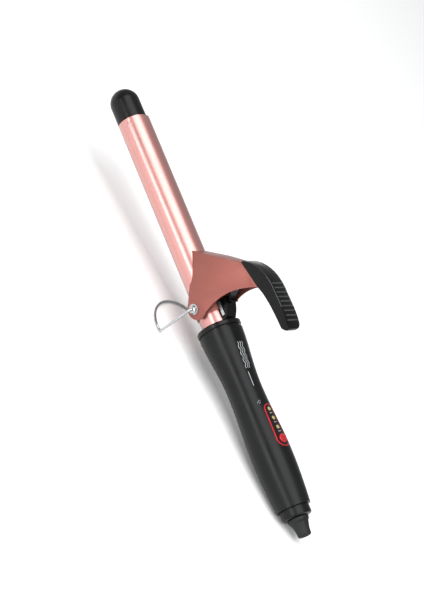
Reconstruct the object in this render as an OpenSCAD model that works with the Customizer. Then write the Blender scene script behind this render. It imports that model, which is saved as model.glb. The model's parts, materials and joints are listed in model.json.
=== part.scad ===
// Hair curling iron with a spring clip, a folding wire stand and a swivel cord gland.
// Pieces are drawn on the bench: +Z along the barrel to the tip, +X towards the lever,
// +Y across. set_down() then leans the whole iron on its stand and on the handle's end.

/* [Barrel] */
// Outside diameter of the heated barrel
barrel_d = 25; // [19:1:32]
// Wall of the barrel tube
barrel_wall = 1.2; // [0.8:0.1:2]
// From the clip hinge to the front end of the barrel
barrel_len = 172; // [140:1:210]
// Straight length of the cool tip
tip_len = 17.5; // [12:0.5:25]
// Length of the cool tip's spigot inside the barrel
tip_spigot = 12; // [8:1:20]

/* [Handle] */
// From the clip hinge back to the front edge of the collar
collar_setback = 18.5; // [16:0.5:26]
// How far the collar stands out past the sleeve's front edge
collar_proud = 0.3; // [0:0.1:2]
// Length of the handle sleeve
handle_len = 150; // [140:1:180]
// From the barrel's surface out to the sleeve's surface, at its front edge
front_swell = 5.5; // [4.8:0.1:7.5]
// Radius of the sleeve at its waist
waist_r = 14.2; // [13.5:0.1:17]
// Radius of the sleeve at its belly
belly_r = 16.5; // [15.5:0.1:19]
// Radius of the sleeve at its back edge
back_r = 14.1; // [13.6:0.1:16]
// Wall of the handle sleeve
handle_wall = 2.4; // [2:0.1:2.6]

/* [Clip] */
// Air gap between the barrel and the closed clip
clip_gap = 0.7; // [0.4:0.1:1.5]
// Sheet thickness of the clip
clip_sheet = 1; // [0.8:0.1:1.5]
// From the barrel's surface out to the outside of each hinge ear
ear_reach = 3.7; // [3.7:0.1:6]
// Half width of the lever at its top
lever_top_half_w = 8; // [7:0.1:10]
// Height of the lever's seat above the barrel axis
lever_h = 50.5; // [45:0.5:56]
// Length of the thumb rest
thumb_len = 66; // [50:1:74]

/* [Hinge and stand] */
// Hinge axis below the barrel axis
hinge_drop = 3.5; // [0:0.1:5]
// Radius of the hinge pins
pin_r = 2; // [1.8:0.1:2.6]
// Radial clearance of every running fit
fit_gap = 0.05; // [0.02:0.01:0.1]
// Diameter of the stand's wire
wire_d = 2.2; // [1.8:0.1:2.4]
// Half width of the stand at its feet
stand_half_w = 28.5; // [25:0.5:34]
// How far the stand's foot reaches towards the tip
stand_reach = 26; // [20:0.5:28]
// Angle at which the iron leans on its stand
lean = 7; // [5:0.5:9]

/* [Controls] */
// Radius of the power button
button_r = 3.7; // [3:0.1:4.5]
// Travel of the power button
button_travel = 0.6; // [0.3:0.1:1]
// Radius of each indicator window
window_r = 1.6; // [1.2:0.1:2]
// Spacing of the indicator windows
window_pitch = 8; // [7:0.5:10]

/* [Cord gland] */
// Radius of the swivel gland's shaft
gland_r = 5; // [4.5:0.1:6]
// Radius of the cord bore
cord_r = 3.2; // [2.5:0.1:3.8]

/* [Hidden] */

$fn = 64;
rose = "#c98a83";
black = "#202124";
steel = "#d5d6d8";
brass = "#c9a24a";
far = 400;
eps = 0.01;

barrel_r = barrel_d / 2;
bore_r = barrel_r - barrel_wall;
barrel_back = -collar_setback - 24;
handle_front_r = barrel_r + front_swell;
collar_r = handle_front_r + collar_proud;

// Clip: a half round spoon over the barrel, and a folded sheet lever behind it
spoon_in = barrel_r + clip_gap;
spoon_out = spoon_in + clip_sheet;
spoon_front = barrel_len - 1.5;
spoon_back = 20;
spoon_edge = 1;
ear_lobe_r = 9.5;
ear_lobe = [-0.5, 3 - hinge_drop];
ear_sheet = 1.2;
ear_half_w = barrel_r + ear_reach;
hinge = [0, -hinge_drop];

// Lever outline in the plane of the barrel and the lever: [along the barrel, height]
ridge_foot = [45, spoon_out - 3];
seat_front = [12.5, lever_h];
seat_back = [-11.5, lever_h + 5];
ridge_pull = [26.25, lever_h - 15.25];
heel_pull = [5.2, lever_h / 2 + 1.75];
heel_foot = [-10, 1.5];

// Hinge saddle and the block that the leaf spring rides on
saddle_r = barrel_r + 1.1;
saddle_half = 8;
boss_r = pin_r + 2.5;
boss_out = ear_half_w - ear_sheet - 0.1;
block_half_w = 6;
block_front = -2;
block_back = -collar_setback + 1;
block_arc_r = 25.5;
strap_t = 0.8;

// Washer and pin head outside the ears
washer_in = ear_half_w + fit_gap;
washer_out = washer_in + 0.7;
washer_r = pin_r + 2.4;
head_r = pin_r + 1.2;
head_ball_r = head_r + 1.2;
head_out = washer_out + 1.7;
pin_in = sqrt(bore_r * bore_r - hinge_drop * hinge_drop) - 0.14;
wire_r = wire_d / 2;
wire_bore_r = wire_r + fit_gap;
wire_in = pin_in + 1.8;
wire_out = head_out + wire_r + 0.5;

// Collar and handle stations along the barrel
collar_len = 4;
groove_len = 2.5;
sleeve_front = -collar_setback - collar_len - groove_len;
sleeve_back = sleeve_front - handle_len;
waist_at = sleeve_front - handle_len * 0.34;
belly_at = sleeve_front - handle_len * 0.71;
front_spigot = 9;
collar_screw_at = sleeve_front - 5;
collar_screw_r = 1.2;
insulator_front = collar_screw_at - collar_screw_r - 1;
spigot_r = handle_front_r - handle_wall;

// Controls on the handle's top, measured back from the sleeve's front edge
window_at = sleeve_front - 72;
button_at = window_at - 3 * window_pitch - 1.8;
panel_front_r = 5;
panel_back_r = button_r + 3;
panel_proud = 0.25;
trim_w = 0.7;
trim_proud = 0.4;
panel_floor = 9;

// Circuit board under the controls
board_top = 5.6;
board_t = 1.6;
board_half_w = 7.5;
board_front = window_at + 9;
board_back = button_at - 22;
carrier_h = 3;
stem_end = 11.6;

// End cap and swivel gland
cap_spigot = 12;
cap_wall = 2.4;
cap_r = back_r - 1.9;
cap_len = 8;
cap_bore_r = gland_r + fit_gap;
retainer_t = 2;
retainer_r = gland_r + 2.5;
gland_nose = 15;
gland_shoulder_r = gland_r + 3.6;
gland_end = sleeve_back - cap_len - 0.3 - gland_nose;
ring_r = gland_r + 1.2;

// Smooth step from 0 to 1
function ease(t) = (1 - cos(180 * t)) / 2;
// Radius of the sleeve's outside at station s
function sleeve_r(s) =
    s > waist_at ? handle_front_r - (handle_front_r - waist_r) * ease(pow((sleeve_front - s) / (sleeve_front - waist_at), 0.85))
    : s > belly_at ? waist_r + (belly_r - waist_r) * ease((waist_at - s) / (waist_at - belly_at))
    : back_r + (belly_r - back_r) * cos(90 * (belly_at - s) / (belly_at - sleeve_back));
steps = 30;
stations = [for (i = [0:steps]) sleeve_front - handle_len * i / steps];

// Point at t on the curve from a to c that is pulled towards b
function curve(a, b, c, t) = (1 - t) * (1 - t) * a + 2 * (1 - t) * t * b + t * t * c;
function bend(a, b, c, n) = [for (i = [0:n]) curve(a, b, c, i / n)];

// Where the whole iron stands: leaning, its lowest points on the ground
low_handle = min([for (s = stations) s * sin(lean) - sleeve_r(s) * cos(lean)]);
lift = -low_handle;
tip_x = -barrel_len * cos(lean) - tip_len * cos(lean) - barrel_r;
end_x = -gland_end * cos(lean) + gland_shoulder_r * 0.62 * sin(lean);
shift = -(tip_x + end_x) / 2;
hinge_x = shift + hinge[1] * sin(lean);
hinge_z = lift + hinge[1] * cos(lean);

module set_down() {
    translate([shift, 0, lift]) rotate([0, lean, 0]) rotate([0, -90, 0]) children();
}
// Outline of [along, height] points, given a width across the bench
module across(points, half_w) {
    rotate([90, 0, 0]) linear_extrude(2 * half_w, center = true) polygon([for (p = points) [p[1], p[0]]]);
}
// Ring or disc round the barrel axis, from station a to station b
module turned(outer, a, b, inner = 0) {
    translate([0, 0, min(a, b)]) difference() {
        cylinder(r = outer, h = abs(a - b));
        if (inner > 0) translate([0, 0, -1]) cylinder(r = inner, h = abs(a - b) + 2);
    }
}
// Round bar across the bench at the hinge axis, from y = a to y = b
module hinge_bar(r, a, b) {
    translate([hinge[1], min(a, b), hinge[0]]) rotate([-90, 0, 0]) cylinder(r = r, h = abs(a - b));
}
// Radius of the room inside the sleeve at station s
function room_r(s) = min(sleeve_r(s) - handle_wall, spigot_r);
module handle_room() {
    rotate_extrude() polygon(concat([[0, sleeve_front]], [for (s = stations) [room_r(s), s]], [[0, sleeve_back]]));
}
// Solid inside the sleeve's outer surface grown by g
module handle_form(g) {
    rotate_extrude() polygon(concat([[0, sleeve_front]], [for (s = stations) [sleeve_r(s) + g, s]], [[0, sleeve_back]]));
}
// Upright prism with the control panel's outline, grown by g
module panel_prism(g) {
    front = window_at - 0.5;
    back = button_at;
    translate([panel_floor, 0, 0]) rotate([0, 90, 0]) linear_extrude(belly_r) {
        translate([-front, 0]) circle(panel_front_r + g);
        translate([-back, 0]) circle(panel_back_r + g);
        polygon([[-front, panel_front_r + g], [-back, panel_back_r + g], [-back, -panel_back_r - g], [-front, -panel_front_r - g]]);
    }
}
// Upright round bar at station s, from height a to height b
module post(r, s, a, b, y = 0) {
    translate([min(a, b), y, s]) rotate([0, 90, 0]) cylinder(r = r, h = abs(a - b));
}

// ---- Barrel ----
module barrel_tube() {
    color(rose) set_down() difference() {
        turned(barrel_r, barrel_back, barrel_len, bore_r);
        hinge_bar(pin_r, -far, far);
        collar_screw_bars(collar_screw_r);
    }
}
module cool_tip() {
    dome = barrel_len + tip_len;
    color(black) set_down() {
        rotate_extrude() polygon(concat(
            [[bore_r - 1.6, barrel_len - tip_spigot], [bore_r, barrel_len - tip_spigot], [bore_r, barrel_len], [barrel_r - 0.1, barrel_len]],
            [for (a = [0:6:90]) [(barrel_r - 0.1) * cos(a), dome + (barrel_r - 0.1) * sin(a)]],
            [for (a = [90:-10:0]) [(bore_r - 1.6) * cos(a), dome + (bore_r - 1.6) * sin(a)]]));
    }
}
module heater_plate() {
    color("#e8e4da") set_down() translate([-1.2, -4, 26]) cube([2.4, 8, 88]);
}
// One of the two bowed extrusions that press the heater's heat into the barrel
module heat_spreader() {
    translate([0, 0, 22]) linear_extrude(96) difference() {
        intersection() {
            circle(bore_r);
            translate([1.2, -bore_r]) square([bore_r, 2 * bore_r]);
        }
        intersection() {
            circle(bore_r - 1.5);
            translate([2.9, -bore_r]) square([bore_r, 2 * bore_r]);
        }
    }
}
module heat_spreader_upper() {
    color("#c9ccd0") set_down() heat_spreader();
}
module heat_spreader_lower() {
    color("#c9ccd0") set_down() mirror([1, 0, 0]) heat_spreader();
}
module lead_insulator() {
    color("#efe9dc") set_down() difference() {
        turned(bore_r, barrel_back, insulator_front);
        for (y = [-4, 4]) translate([0, y, barrel_back - 1]) cylinder(r = 1.1, h = insulator_front - barrel_back + 2);
    }
}
module thermal_fuse() {
    color("#b9a98a") set_down() translate([0, 0, barrel_back - 16]) {
        translate([0, -4, 0]) cylinder(r = 2.2, h = 12);
        translate([0, -4, 12]) cylinder(r = 1, h = 6);
    }
}

// ---- Clip hinge, fixed side ----
module hinge_saddle() {
    color(steel) set_down() difference() {
        union() {
            turned(saddle_r, -saddle_half, saddle_half);
            hinge_bar(boss_r, -boss_out, boss_out);
        }
        turned(barrel_r, -far, far);
        hinge_bar(pin_r, -far, far);
    }
}
// Riveted stud with a bore up its middle for one end of the stand's wire
module hinge_pin(side) {
    color(steel) set_down() difference() {
        union() {
            hinge_bar(pin_r, side * pin_in, side * washer_out);
            intersection() {
                hinge_bar(head_r, side * washer_out, side * head_out);
                translate([hinge[1], side * (head_out + 0.2 - head_ball_r), 0]) sphere(head_ball_r);
            }
        }
        hinge_bar(wire_bore_r, side * (pin_in + 1), side * far);
    }
}
module hinge_washer(side) {
    color(steel) set_down() difference() {
        hinge_bar(washer_r, side * washer_in, side * washer_out);
        hinge_bar(pin_r, -far, far);
    }
}
module hinge_pin_near() { hinge_pin(-1); }
module hinge_pin_far() { hinge_pin(1); }
module hinge_washer_near() { hinge_washer(-1); }
module hinge_washer_far() { hinge_washer(1); }
module spring_block() {
    color(black) set_down() difference() {
        intersection() {
            translate([0, -block_half_w, block_back]) cube([far, 2 * block_half_w, block_front - block_back]);
            hinge_bar(block_arc_r, -far, far);
        }
        turned(barrel_r, -far, far);
        turned(saddle_r, -saddle_half, saddle_half);
    }
}
module block_strap(side) {
    strap_low = barrel_r + 0.7;
    color(steel) set_down() translate([strap_low, side > 0 ? block_half_w : -block_half_w - strap_t, block_back + 3])
        cube([2.6, strap_t, block_front - block_back - 3.5]);
}
module block_strap_near() { block_strap(-1); }
module block_strap_far() { block_strap(1); }

// ---- Handle ----
module collar_screw_bars(r) {
    translate([0, 0, collar_screw_at]) for (side = [-1, 1]) rotate([side * 90, 0, 0]) translate([0, 0, bore_r - 0.6])
        cylinder(r = r, h = spigot_r - bore_r);
}
module collar_ring() {
    front = -collar_setback;
    back = front - collar_len;
    groove = handle_front_r - 1.6;
    color(black) set_down() difference() {
        rotate_extrude() polygon([[barrel_r, front], [collar_r - 0.8, front], [collar_r, front - 0.8], [collar_r, back + 0.5],
            [collar_r - 0.5, back], [groove, back], [groove, sleeve_front], [spigot_r, sleeve_front],
            [spigot_r, sleeve_front - front_spigot], [barrel_r, sleeve_front - front_spigot]]);
        collar_screw_bars(collar_screw_r);
    }
}
module collar_screws() {
    color(steel) set_down() collar_screw_bars(collar_screw_r);
}
module handle_sleeve() {
    inner = [for (s = stations) [room_r(s), s]];
    color(black) set_down() difference() {
        handle_form(0);
        rotate_extrude() polygon(concat([[0, sleeve_front + 1], [spigot_r, sleeve_front + 1], [spigot_r, sleeve_front - front_spigot]],
            [for (p = inner) if (p[1] < sleeve_front - front_spigot && p[1] > sleeve_back + cap_spigot) p],
            [[cap_inner_r(), sleeve_back + cap_spigot], [cap_inner_r(), sleeve_back - 1], [0, sleeve_back - 1]]));
        panel_prism(0);
        cap_screw_bar();
    }
}
function cap_inner_r() = back_r - cap_wall;
module control_panel() {
    color("#141012") set_down() difference() {
        intersection() {
            panel_prism(-trim_w);
            handle_form(panel_proud);
        }
        handle_room();
        post(button_r + 0.1, button_at, 0, far);
        for (i = [0:2]) post(window_r, window_at - i * window_pitch, 0, far);
    }
}
module panel_trim() {
    color("#c0303c") set_down() difference() {
        intersection() {
            panel_prism(0);
            handle_form(trim_proud);
        }
        handle_room();
        panel_prism(-trim_w);
    }
}
module window(i) {
    color("#e6e0b0") set_down() difference() {
        intersection() {
            post(window_r, window_at - i * window_pitch, panel_floor, far);
            handle_form(panel_proud + 0.1);
        }
        handle_room();
    }
}
module window_1() { window(0); }
module window_2() { window(1); }
module window_3() { window(2); }
module power_button() {
    top = sleeve_r(button_at) + 1;
    skirt = sleeve_r(button_at) - handle_wall - 1;
    color("#d0202c") set_down() translate([0, 0, button_at]) rotate([0, 90, 0]) rotate_extrude() polygon([[0, stem_end],
        [1.5, stem_end], [1.5, skirt], [button_r, skirt], [button_r, top - 0.7], [button_r - 0.25, top - 0.25],
        [button_r - 0.8, top], [0, top - 0.3]]);
}
module board_carrier() {
    under = board_top - board_t - carrier_h;
    shelf = 8;
    color("#3a3a3c") set_down() difference() {
        union() {
            translate([under, -board_half_w, board_back]) cube([carrier_h, 2 * board_half_w, board_front - board_back]);
            // A shelf at each end reaches the sleeve's inner wall
            intersection() {
                handle_room();
                for (s = [board_front - shelf, board_back]) translate([under, -belly_r, s]) cube([carrier_h, 2 * belly_r, shelf]);
            }
        }
        translate([under - 1, 2 - board_half_w, board_back + shelf]) cube([carrier_h + 2, 2 * board_half_w - 4, board_front - board_back - 2 * shelf]);
        for (s = [board_front - 4, board_back + 4]) post(1, s, 0, far);
    }
}
module control_board() {
    color("#2f6b45") set_down() difference() {
        translate([board_top - board_t, -board_half_w, board_back]) cube([board_t, 2 * board_half_w, board_front - board_back]);
        for (s = [board_front - 4, board_back + 4]) post(1, s, 0, far);
    }
}
module board_leds() {
    color("#f4f1d8") set_down() for (i = [0:2]) post(window_r - 0.2, window_at - i * window_pitch, board_top, board_top + 3);
}
module button_switch() {
    color("#55575a") set_down() {
        translate([board_top, -3, button_at - 3]) cube([3.6, 6, 6]);
        post(1.5, button_at, board_top + 3.6, stem_end - button_travel - 0.1);
    }
}
module board_screws() {
    color(steel) set_down() for (s = [board_front - 4, board_back + 4]) {
        post(1, s, board_top - board_t - carrier_h, board_top);
        post(2, s, board_top, board_top + 1.2);
    }
}
module cap_screw_bar() {
    post(1.3, sleeve_back + 7, -far, -cap_inner_r() + cap_wall);
}
module end_cap() {
    face = sleeve_back - cap_len;
    seat = sleeve_back + cap_spigot;
    color(black) set_down() difference() {
        rotate_extrude() polygon([[cap_bore_r, face], [cap_r - 1.5, face], [cap_r - 0.4, face + 0.5], [cap_r, face + 1.6],
            [cap_r, sleeve_back], [cap_inner_r(), sleeve_back], [cap_inner_r(), seat], [cap_inner_r() - cap_wall, seat],
            [cap_inner_r() - cap_wall, sleeve_back - cap_wall], [cap_bore_r, sleeve_back - cap_wall]]);
        cap_screw_bar();
    }
}
module end_cap_screw() {
    color(steel) set_down() intersection() {
        post(1.3, sleeve_back + 7, -back_r - 5, -cap_inner_r() + cap_wall);
        handle_form(-0.6);
    }
}
module brush_contacts() {
    inner = ring_r + 0.35;
    outer = cap_inner_r() - cap_wall;
    color(brass) set_down() intersection() {
        turned(outer, sleeve_back, sleeve_back + cap_spigot);
        for (i = [0, 1], side = [0, 180]) translate([0, 0, sleeve_back + 4 + i * 4]) rotate([0, 0, side])
            translate([inner, -2, 0]) cube([outer - inner + 1, 4, 1.4]);
    }
}

// ---- Clip ----
module clip_spoon() {
    corner = 8;
    color(rose) set_down() intersection() {
        turned(spoon_out, spoon_back, spoon_front, spoon_in);
        translate([spoon_edge, 0, 0]) rotate([0, 90, 0]) linear_extrude(far) {
            translate([-spoon_front + corner, -far]) square([far, 2 * far]);
            translate([-spoon_front, -spoon_out + corner]) square([corner + eps, 2 * spoon_out - 2 * corner]);
            for (side = [-1, 1]) translate([-spoon_front + corner, side * (spoon_out - corner)]) circle(corner);
        }
    }
}
// Lever's outline from the side, grown by g along its ridge and seat
function lever_outline() = concat(
    [for (a = [165:12:321]) ear_lobe + ear_lobe_r * [cos(a), sin(a)]],
    [[spoon_back + 1, spoon_edge], [ridge_foot[0] + 1, spoon_edge]],
    bend(ridge_foot, ridge_pull, seat_front, 12),
    bend(seat_back, heel_pull, heel_foot, 14));
ridge_dir = (seat_front - ridge_foot) / norm(seat_front - ridge_foot);
ridge_in = ear_sheet * [-ridge_dir[1], ridge_dir[0]];
function lever_hollow() = concat(
    [for (p = bend(ridge_foot, ridge_pull, seat_front, 12)) p + ridge_in],
    [[seat_back[0] - 20, seat_back[1] - ear_sheet + 20 * 5 / 24], [-far, 0], [-far, -far], [far, -far], [ridge_foot[0], -1]]);
module lever_width(g) {
    // Seen along the barrel: ears side by side, then drawn in to the thumb rest
    linear_extrude(far, center = true) polygon([[-far, -ear_half_w - g], [6, -ear_half_w - g], [lever_h, -lever_top_half_w - g],
        [far, -lever_top_half_w - g], [far, lever_top_half_w + g], [lever_h, lever_top_half_w + g], [6, ear_half_w + g], [-far, ear_half_w + g]]);
}
module lever_plan(g) {
    // Seen from above: ears side by side, then drawn in over the spoon
    rows = [[-far, ear_half_w], [8, ear_half_w], [spoon_back, spoon_out], [33, spoon_out - 2.6], [46, spoon_out - 6]];
    translate([-far, 0, 0]) rotate([0, 90, 0]) linear_extrude(2 * far)
        polygon(concat([for (p = rows) [-p[0], p[1] + g]], [for (i = [len(rows) - 1:-1:0]) [-rows[i][0], -rows[i][1] - g]]));
}
module clip_lever() {
    color(rose) set_down() difference() {
        intersection() {
            across(lever_outline(), far);
            lever_width(0);
            lever_plan(0);
        }
        intersection() {
            across(lever_hollow(), far);
            lever_width(-ear_sheet);
            lever_plan(-ear_sheet);
        }
        turned(spoon_out, spoon_back, far);
        hinge_bar(pin_r + fit_gap, -far, far);
        thumb_rivet_bars(thumb_rivet_r);
    }
}
// Centre line of the leaf spring: riveted under the ridge, folded back, then down to the block
leaf_t = 0.8;
leaf_half_w = 4;
leaf_line = [[27, lever_h - 20.5], [19.5, lever_h - 12], [15.5, lever_h - 8.4], [12, lever_h - 6.8], [9, lever_h - 7.5], [6.5, lever_h - 11],
    [-2.5, 24.8], [-4.4, 23.6], [-6.4, 23.8], [-8, 25.2]];
function unit(v) = v / norm(v);
function side_of(path, i) = let (a = path[max(i - 1, 0)], b = path[min(i + 1, len(path) - 1)], d = unit(b - a)) [-d[1], d[0]];
module leaf_spring() {
    left = [for (i = [0:len(leaf_line) - 1]) leaf_line[i] + side_of(leaf_line, i) * leaf_t / 2];
    right = [for (i = [len(leaf_line) - 1:-1:0]) leaf_line[i] - side_of(leaf_line, i) * leaf_t / 2];
    color(steel) set_down() difference() {
        across(concat(left, right), leaf_half_w);
        spring_rivet_bar(1.2, -5, 5);
    }
}
module spring_rivet_bar(r, a, b) {
    // Along the ridge's inward normal, through the middle of the riveted arm
    mid = (leaf_line[0] + leaf_line[1]) / 2;
    dir = unit(ridge_in);
    translate([mid[1], 0, mid[0]]) rotate([0, atan2(dir[1], dir[0]), 0]) translate([0, 0, a]) cylinder(r = r, h = b - a);
}
module spring_rivet() {
    color(steel) set_down() {
        spring_rivet_bar(1.2, -0.7, 0.8);
        spring_rivet_bar(2, 0.6, 1.4);
    }
}
thumb_rivet_r = 1.4;
seat_dir = unit(seat_back - seat_front);
module thumb_rivet_bars(r, deep = 1.6, high = 3) {
    for (k = [0.28, 0.72]) let (p = seat_front + (seat_back - seat_front) * k)
        translate([p[1], 0, p[0]]) rotate([0, atan2(seat_dir[1], seat_dir[0]) - 90, 0]) translate([0, 0, -deep]) cylinder(r = r, h = deep + high);
}
// Outline of the thumb rest from the side
function thumb_outline() = let (
    front = seat_front + [0.6, 0],
    top = [-24, lever_h + 20.5],
    end = [seat_front[0] - thumb_len, lever_h + 14.5],
    under = [end[0] + 3.5, lever_h + 10.3])
    concat([front], bend(front + [0.4, 2.2], [front[0] - 13, top[1] - 1.5], [-24, lever_h + 17.7], 10),
        bend([-24, lever_h + 17.7], [-44, lever_h + 18.8], end + [0.3, 1], 8),
        bend(end, end + [-0.6, -3], under, 4), bend(under, [-22, lever_h + 9.8], seat_back, 8));
module thumb_rest() {
    corner = 5;
    half_w = lever_top_half_w + 0.4;
    end = seat_front[0] - thumb_len;
    color(black) set_down() difference() {
        intersection() {
            across(thumb_outline(), half_w);
            rotate([0, 90, 0]) linear_extrude(far) {
                translate([-far - end - corner, -far]) square([far, 2 * far]);
                translate([-end - corner, -half_w + corner]) square([corner + 2, 2 * half_w - 2 * corner]);
                for (side = [-1, 1]) translate([-end - corner, side * (half_w - corner)]) circle(corner);
            }
        }
        thumb_rivet_bars(thumb_rivet_r);
    }
}
module thumb_rest_rivets() {
    color(steel) set_down() {
        thumb_rivet_bars(thumb_rivet_r, ear_sheet + 0.3, 3);
        thumb_rivet_bars(2.4, ear_sheet + 1, -ear_sheet - 0.1);
    }
}

// ---- Wire stand, drawn as it stands ----
// How far before its corner a bend starts
function bend_reach(d1, d2) = stand_bend * tan(acos(d1 * d2) / 2);
// Points round the bend at corner p, from direction d1 to direction d2
function bend_points(p, d1, d2) = let (n = unit(d2 - (d2 * d1) * d1), turn = acos(d1 * d2),
    centre = p - d1 * bend_reach(d1, d2) + n * stand_bend)
    [for (i = [0:6]) centre + stand_bend * (d1 * sin(turn * i / 6) - n * cos(turn * i / 6))];
stand_bend = 2.6;
wire_sides = 14;
leg_top = [0, wire_out, 0];
leg_foot = [0, stand_half_w, wire_r - hinge_z];
leg_dir = unit(leg_foot - leg_top);
// The foot is an arc that starts where each leg's lower bend ends, and reaches forward by stand_reach
foot_skew = 90 - 2 * atan(stand_reach / stand_half_w);
foot_dir = [-cos(foot_skew), -sin(foot_skew), 0];
foot_start = leg_foot + foot_dir * bend_reach(leg_dir, foot_dir);
foot_arc_r = foot_start[1] / cos(foot_skew);
foot_centre = [foot_start[0] + foot_arc_r * sin(foot_skew), 0, leg_foot[2]];
half_route = concat([[0, wire_in, 0]], bend_points(leg_top, [0, 1, 0], leg_dir), bend_points(leg_foot, leg_dir, foot_dir),
    [for (i = [1:15]) let (a = 90 + foot_skew + (90 - foot_skew) * i / 16) foot_centre + foot_arc_r * [cos(a), sin(a), 0]]);
wire_route = concat(half_route, [foot_centre - [foot_arc_r, 0, 0]],
    [for (i = [len(half_route) - 1:-1:0]) [half_route[i][0], -half_route[i][1], half_route[i][2]]]);
// Direction of the route at each point, and a side direction carried along it without twist
function headings(route) = [for (i = [0:len(route) - 1]) unit(route[min(i + 1, len(route) - 1)] - route[max(i - 1, 0)])];
function carried(dirs, i, n) = i == len(dirs) ? [] : let (m = unit(n - (n * dirs[i]) * dirs[i])) concat([m], carried(dirs, i + 1, m));
module swept(route, r, sides) {
    dirs = headings(route);
    sideways = carried(dirs, 0, [1, 0, 0]);
    last = (len(route) - 1) * sides;
    polyhedron([for (i = [0:len(route) - 1], k = [0:sides - 1])
            route[i] + r * (sideways[i] * cos(360 * k / sides) + cross(dirs[i], sideways[i]) * sin(360 * k / sides))],
        concat([[for (k = [0:sides - 1]) k]], [[for (k = [sides - 1:-1:0]) last + k]],
            [for (i = [0:len(route) - 2], k = [0:sides - 1]) let (a = i * sides, n = (k + 1) % sides)
                [a + k, a + sides + k, a + sides + n, a + n]]));
}
module stand_wire() {
    color(steel) translate([hinge_x, 0, hinge_z]) swept(wire_route, wire_r, wire_sides);
}

// ---- Swivel gland ----
module cord_gland() {
    shoulder = sleeve_back - cap_len - 0.3;
    inner = sleeve_back + 13;
    color(black) set_down() rotate_extrude() polygon([[cord_r, gland_end], [gland_r - 0.4, gland_end], [gland_r + 0.4, gland_end + 1],
        [gland_r + 0.9, gland_end + 6], [gland_shoulder_r - 1.4, shoulder - 4.2], [gland_shoulder_r - 0.3, shoulder - 2.6],
        [gland_shoulder_r, shoulder - 1], [gland_shoulder_r, shoulder], [gland_r, shoulder], [gland_r, inner], [cord_r, inner]]);
}
module gland_retainer() {
    color(steel) set_down() turned(retainer_r, sleeve_back - cap_wall + 0.15, sleeve_back - cap_wall + 0.15 + retainer_t, gland_r);
}
module slip_rings() {
    color(brass) set_down() for (i = [0, 1]) turned(ring_r, sleeve_back + 3.7 + i * 4, sleeve_back + 5.7 + i * 4, gland_r);
}

barrel_tube();
cool_tip();
heater_plate();
heat_spreader_upper();
heat_spreader_lower();
lead_insulator();
thermal_fuse();
hinge_saddle();
hinge_pin_near();
hinge_pin_far();
hinge_washer_near();
hinge_washer_far();
spring_block();
block_strap_near();
block_strap_far();
collar_ring();
collar_screws();
handle_sleeve();
control_panel();
panel_trim();
window_1();
window_2();
window_3();
board_carrier();
control_board();
board_leds();
button_switch();
board_screws();
end_cap();
end_cap_screw();
brush_contacts();
power_button();
clip_spoon();
clip_lever();
leaf_spring();
spring_rivet();
thumb_rest();
thumb_rest_rivets();
stand_wire();
cord_gland();
gland_retainer();
slip_rings();
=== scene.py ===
"""Hair curling iron: finishes, detailed pieces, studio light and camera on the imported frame."""
import json
import logging
import math
from dataclasses import dataclass
from enum import Enum
from typing import Any, Callable, Iterable, Sequence

import bmesh
import bpy
from mathutils import Matrix, Vector
from mathutils.bvhtree import BVHTree

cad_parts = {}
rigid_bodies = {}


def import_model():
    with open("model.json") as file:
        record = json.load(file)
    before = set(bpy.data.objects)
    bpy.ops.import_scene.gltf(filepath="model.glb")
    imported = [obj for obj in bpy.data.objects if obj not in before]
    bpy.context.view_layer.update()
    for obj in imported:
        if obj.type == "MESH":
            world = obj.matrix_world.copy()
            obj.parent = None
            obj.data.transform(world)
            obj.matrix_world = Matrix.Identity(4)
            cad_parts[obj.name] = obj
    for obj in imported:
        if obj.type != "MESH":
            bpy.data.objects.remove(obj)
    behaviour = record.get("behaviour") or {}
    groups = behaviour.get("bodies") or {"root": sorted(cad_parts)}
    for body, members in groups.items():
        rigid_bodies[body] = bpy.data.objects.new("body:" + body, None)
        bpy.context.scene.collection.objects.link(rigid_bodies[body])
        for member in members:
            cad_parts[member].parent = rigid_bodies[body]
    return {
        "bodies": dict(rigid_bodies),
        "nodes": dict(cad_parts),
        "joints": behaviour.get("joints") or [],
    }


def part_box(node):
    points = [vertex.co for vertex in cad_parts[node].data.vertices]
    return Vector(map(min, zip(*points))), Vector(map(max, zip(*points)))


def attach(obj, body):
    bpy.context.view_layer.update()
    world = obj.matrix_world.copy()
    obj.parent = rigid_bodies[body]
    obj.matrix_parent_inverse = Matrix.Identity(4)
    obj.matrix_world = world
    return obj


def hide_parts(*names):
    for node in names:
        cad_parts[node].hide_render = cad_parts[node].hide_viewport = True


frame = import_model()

log = logging.getLogger("curling_iron")
MM = 0.001


class Body(Enum):
    """The bodies of the iron that a piece can move with."""

    IRON = "iron"
    CLIP = "clip"
    BUTTON = "button"
    STAND = "stand"
    GLAND = "gland"


# ---- Nodes and colours ----

def to_linear(hex_colour: str) -> tuple[float, float, float, float]:
    """Turns an sRGB hex colour into Blender's linear colour.

    Args:
        hex_colour: Colour as "#rrggbb".

    Returns:
        Linear red, green, blue and an alpha of 1.
    """
    parts = [int(hex_colour[i:i + 2], 16) / 255 for i in (1, 3, 5)]
    red, green, blue = (c / 12.92 if c <= 0.04045 else ((c + 0.055) / 1.055) ** 2.4 for c in parts)
    return red, green, blue, 1.0


def per_metre(feature_mm: float) -> float:
    """Texture scale at which one cell of a pattern is feature_mm across."""
    return 1.0 / (feature_mm * MM)


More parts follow.
